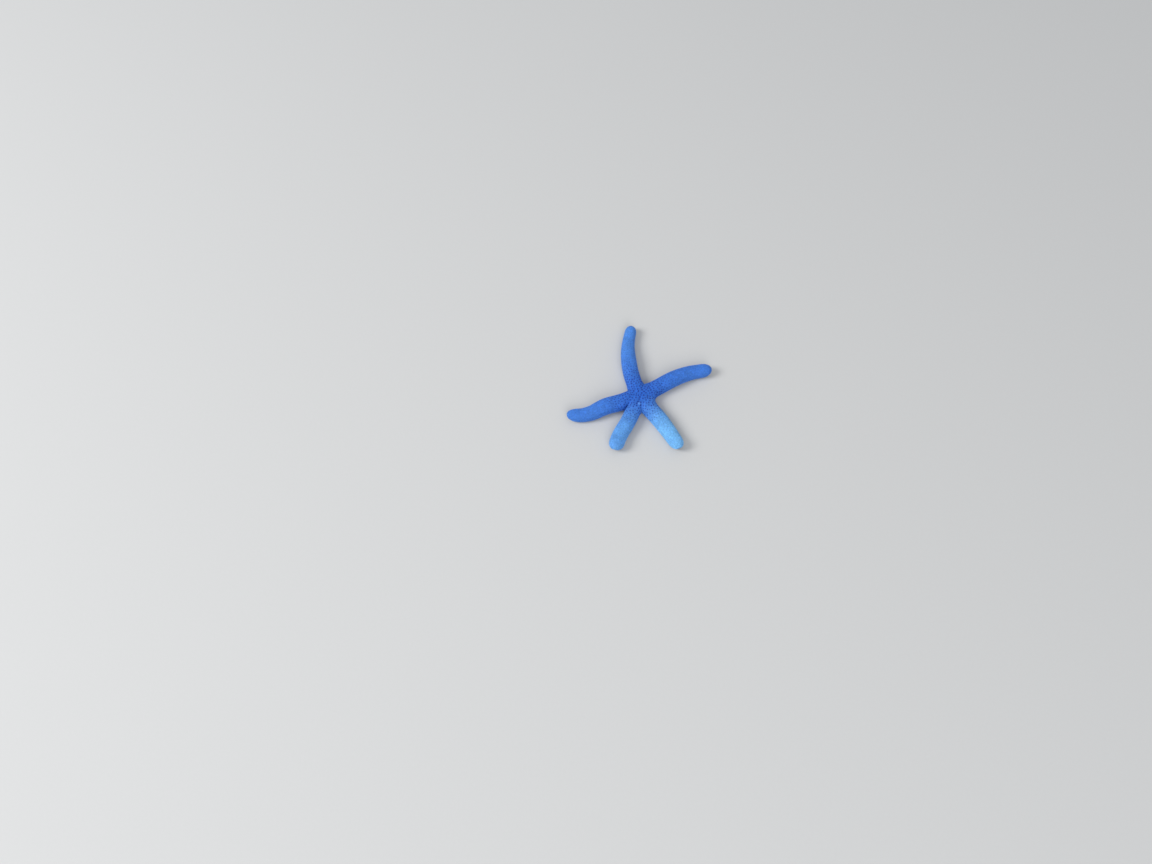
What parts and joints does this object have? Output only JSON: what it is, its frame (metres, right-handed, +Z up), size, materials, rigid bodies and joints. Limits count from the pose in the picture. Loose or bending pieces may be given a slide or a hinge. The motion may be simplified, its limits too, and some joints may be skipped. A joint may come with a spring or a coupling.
{
  "type": "blue sea star",
  "caption": "Life-size blue sea star with long round arms, a small disc and a grooved underside with tube feet, lying flat.",
  "frame": {"origin": "centre of the footprint's box, on the floor that the animal rests on", "axes": "+Z up from the floor, +X along the longer side of the footprint, to the right of the arm called far"},
  "size_m": [0.2196, 0.2149, 0.0225],
  "materials": {
    "skin": "matt, finely granular blue skin with darker pore fields",
    "sieve_plate": "matt pale blue plate with fine winding furrows",
    "end_plate": "smooth satin plate at the arm's tip",
    "eyespot": "moist dark red"
  },
  "bodies": {
    "root": {"disc": "skin", "arm_right_root": "skin", "arm_right_middle": "skin", "arm_right_tip": "skin", "arm_far_root": "skin", "arm_far_middle": "skin", "arm_far_tip": "skin", "arm_left_root": "skin", "arm_left_middle": "skin", "arm_left_tip": "skin", "arm_near_left_root": "skin", "arm_near_left_middle": "skin", "arm_near_left_tip": "skin", "arm_near_right_root": "skin", "arm_near_right_middle": "skin", "arm_near_right_tip": "skin", "madreporite": "sieve_plate", "terminal_plate_right": "end_plate", "eyespot_right": "eyespot", "terminal_plate_far": "end_plate", "eyespot_far": "eyespot", "terminal_plate_left": "end_plate", "eyespot_left": "eyespot", "terminal_plate_near_left": "end_plate", "eyespot_near_left": "eyespot", "terminal_plate_near_right": "end_plate", "eyespot_near_right": "eyespot"}
  },
  "joints": []
}
